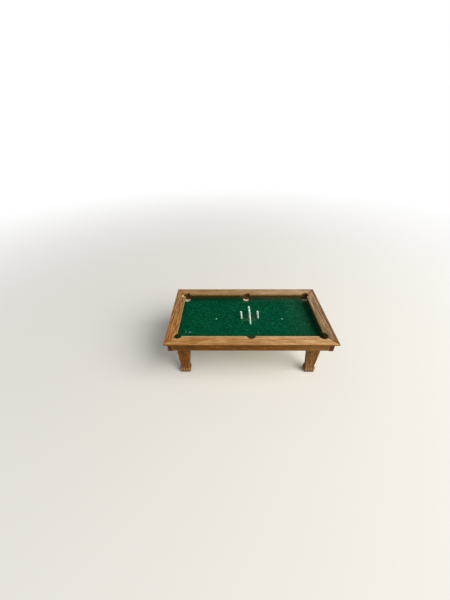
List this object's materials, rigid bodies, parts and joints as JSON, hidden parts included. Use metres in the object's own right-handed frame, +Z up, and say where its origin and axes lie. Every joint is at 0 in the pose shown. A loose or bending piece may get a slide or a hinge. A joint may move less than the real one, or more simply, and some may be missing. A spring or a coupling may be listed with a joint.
{
  "type": "miniature billiards table",
  "caption": "Doll's-house billiards table: mitred oak-stained rails with pocket notches, green cloth bed, skittle pegs and paw-footed legs.",
  "frame": {"origin": "on the floor, under the middle of the table", "axes": "+X along the table to the right, +Y to the back, +Z up"},
  "size_m": [0.2, 0.112, 0.0754],
  "materials": {
    "rail_wood": "oak-stained, thin satin varnish, open grain",
    "wall_wood": "oak-stained, darker, thin satin varnish",
    "leg_wood": "oak-stained, satin varnish rubbed thin on the paws",
    "bed_wood": "bare pale wood",
    "dowel_wood": "bare dowel rod",
    "bed_cloth": "napped green cloth, glued flat",
    "peg_paint": "white gloss paint on dowel",
    "spot_paper": "matt white paper disc"
  },
  "bodies": {
    "table": {"rail_front": "rail_wood", "rail_back": "rail_wood", "rail_left": "rail_wood", "rail_right": "rail_wood", "wall_front": "wall_wood", "wall_back": "wall_wood", "wall_left": "wall_wood", "wall_right": "wall_wood", "bed_board": "bed_wood", "cloth": "bed_cloth", "spot_left": "spot_paper", "spot_right": "spot_paper", "leg_front_left": "leg_wood", "leg_front_right": "leg_wood", "leg_back_left": "leg_wood", "leg_back_right": "leg_wood", "leg_dowels": "dowel_wood"},
    "peg_left": {"peg_left": "peg_paint"},
    "peg_right": {"peg_right": "peg_paint"},
    "peg_front": {"peg_front": "peg_paint"},
    "peg_back": {"peg_back": "peg_paint"},
    "peg_middle": {"peg_middle": "peg_paint"}
  },
  "joints": [
    {"name": "peg_left_lift", "type": "slide", "parent": "table", "child": "peg_left", "axis": [-0.1132, 0, 0.9936], "range_m": [0, 0.0032]},
    {"name": "peg_right_lift", "type": "slide", "parent": "table", "child": "peg_right", "axis": [-0.1132, 0, 0.9936], "range_m": [0, 0.0032]},
    {"name": "peg_front_lift", "type": "slide", "parent": "table", "child": "peg_front", "axis": [-0.1132, 0, 0.9936], "range_m": [0, 0.0032]},
    {"name": "peg_back_lift", "type": "slide", "parent": "table", "child": "peg_back", "axis": [-0.1132, 0, 0.9936], "range_m": [0, 0.0032]},
    {"name": "peg_middle_lift", "type": "slide", "parent": "table", "child": "peg_middle", "axis": [-0.1132, 0, 0.9936], "range_m": [0, 0.0032]}
  ]
}
